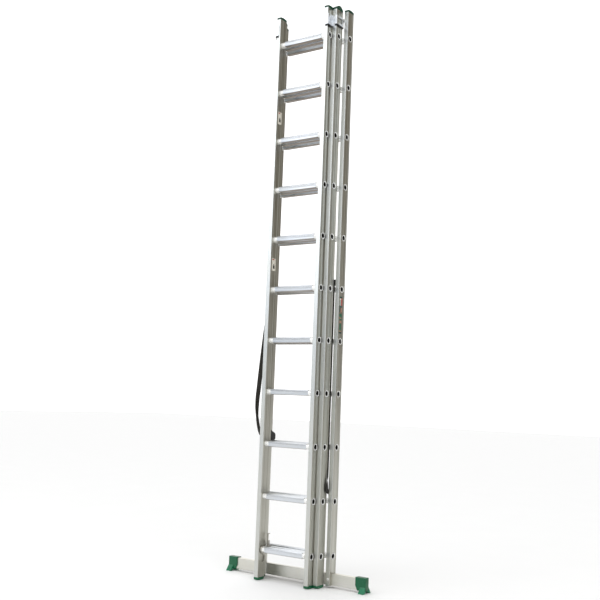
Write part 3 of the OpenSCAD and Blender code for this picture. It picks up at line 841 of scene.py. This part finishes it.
def hang_shade_strip(bm, side, x_lip, x_out, y_front, y_back, top):
    """Adds one L-shaped black strip, seen from above, that hangs below a guide's lower edge as
    painted shade.
    """
    outline = [(x_lip, y_front), (x_out, y_front), (x_out, y_back), (x_out - SHADE_STRIP_T, y_back),
               (x_out - SHADE_STRIP_T, y_front + SHADE_STRIP_T), (x_lip, y_front + SHADE_STRIP_T)]
    join(bm, extrusion([(side * x, y) for x, y in outline], "Z", top - SHADE_STRIP_DROP,
                       top - 0.05 * MM, 0.5 * MM))


def make_shade_strips():
    """Black plastic strips that hang below the guides' lower edges: painted shade for the dark
    band under each guide.
    """
    front, middle = section["front"], section["middle"]
    low, high = span("front_guides")
    bm = bmesh.new()
    for side in (-1, 1):
        hang_shade_strip(bm, side, front.half - 14 * MM, front.half + 4.9 * MM, low.y + SHADE_STRIP_INSET,
                   middle.front - 2.6 * MM, low.z)
    add("front_guide_shade_strips", bm, (M_BLACK,), middle.body)
    for side_name, side in SIDES.items():
        low, high = span("swivel_guide_" + side_name)
        bm = bmesh.new()
        hang_shade_strip(bm, side, middle.half - 9 * MM,
                   max(abs(low.x), abs(high.x)) - SHADE_STRIP_INSET, low.y + SHADE_STRIP_INSET,
                   middle.back + 3.2 * MM, low.z)
        add("swivel_guide_shade_strip_" + side_name, bm, (M_BLACK,), "swivel_guides")


make_shade_strips()


# ---------------------------------------------------------------- CAD nodes that stay

def dress(node, material, bevel=0.0):
    """Gives a CAD node its material, and rounds its edges a little."""
    obj = nodes[node]
    obj.data.materials.clear()
    obj.data.materials.append(material)
    obj.data.shade_smooth()
    obj.data.set_sharp_from_angle(angle=CAD_SHARP_ANGLE)
    if bevel:
        mod = obj.modifiers.new("edges", "BEVEL")
        mod.width = bevel
        mod.segments = 2
        mod.limit_method = "ANGLE"
        mod.angle_limit = BEVEL_ANGLE


for sec in section.values():
    for side_name in SIDES:
        dress(f"{sec.name}_stile_{side_name}", M_STILE)
dress("stabiliser_bar", M_BAR)
for node in ("front_guides", "swivel_guide_left", "swivel_guide_right"):
    dress(node, M_GUIDE, 0.5 * MM)
for node in ("front_hook_left", "front_hook_right", "middle_hook_left", "middle_hook_right"):
    dress(node, M_HOOK, 0.6 * MM)
for node in ("bar_bolts", "guide_rivets", "pivot_pins"):
    dress(node, M_ZINC, 0.3 * MM)
dress("strap_fittings", M_BLACK, 0.5 * MM)


# ---------------------------------------------------------------- stage and light

def make_stage():
    """A plain pale floor."""
    mat, tree, shader = new_material("studio_floor")
    tone = noise(tree, 3.0, 2.0)
    color = mix(tree, remap(tree, tone, 0.0, 1.0), (0.90, 0.90, 0.90), (0.92, 0.92, 0.92))
    tree.links.new(color, shader.inputs["Base Color"])
    shader.inputs["Roughness"].default_value = 0.9
    bm = bmesh.new()
    reach = 30.0
    for x, y in ((-1, -1), (1, -1), (1, 1), (-1, 1)):
        bm.verts.new((x * reach, y * reach, 0.0))
    bm.faces.new(bm.verts)
    mesh = bpy.data.meshes.new("floor")
    bm.to_mesh(mesh)
    bm.free()
    floor = bpy.data.objects.new("floor", mesh)
    mesh.materials.append(mat)
    scene.collection.objects.link(floor)


def make_world():
    """Pale studio walls, with a warm dark screen on the right behind the ladder, which the
    stiles' sides mirror."""
    world = bpy.data.worlds.new("studio")
    scene.world = world
    world.use_nodes = True
    tree = world.node_tree
    tree.nodes.clear()
    out = tree.nodes.new("ShaderNodeOutputWorld")
    background = tree.nodes.new("ShaderNodeBackground")
    way = axes(tree, "Generated")
    walls = mix(tree, ease(tree, way["Y"], -0.2, 0.5), (0.60, 0.65, 0.70), (1.30, 1.30, 1.30))
    walls = mix(tree, ease(tree, way["Z"], 0.25, 0.6), walls, (1.35, 1.35, 1.35))
    screen = math_node(tree, "MULTIPLY", ease(tree, way["X"], -0.15, 0.40),
                       ease(tree, way["Y"], -0.15, 0.25))
    tree.links.new(mix(tree, screen, walls, (0.26, 0.24, 0.20)), background.inputs["Color"])
    background.inputs["Strength"].default_value = 1.0
    tree.links.new(background.outputs[0], out.inputs[0])


def make_light(name, at, target, size, power, color=(1, 1, 1)):
    data = bpy.data.lights.new(name, "AREA")
    data.shape = "RECTANGLE"
    data.size, data.size_y = size
    data.energy = power
    data.color = color
    light = bpy.data.objects.new(name, data)
    scene.collection.objects.link(light)
    light.location = at
    light.rotation_euler = (Vector(target) - Vector(at)).to_track_quat("-Z", "Y").to_euler()


make_stage()
make_world()
make_light("key", (-2.2, -4.6, 3.6), (0, 0, 1.5), (3.0, 3.0), 38)
make_light("fill", (3.4, -2.0, 2.6), (0, 0, 1.4), (2.0, 3.0), 14, (1.0, 0.98, 0.95))
scene.view_settings.view_transform = "Standard"
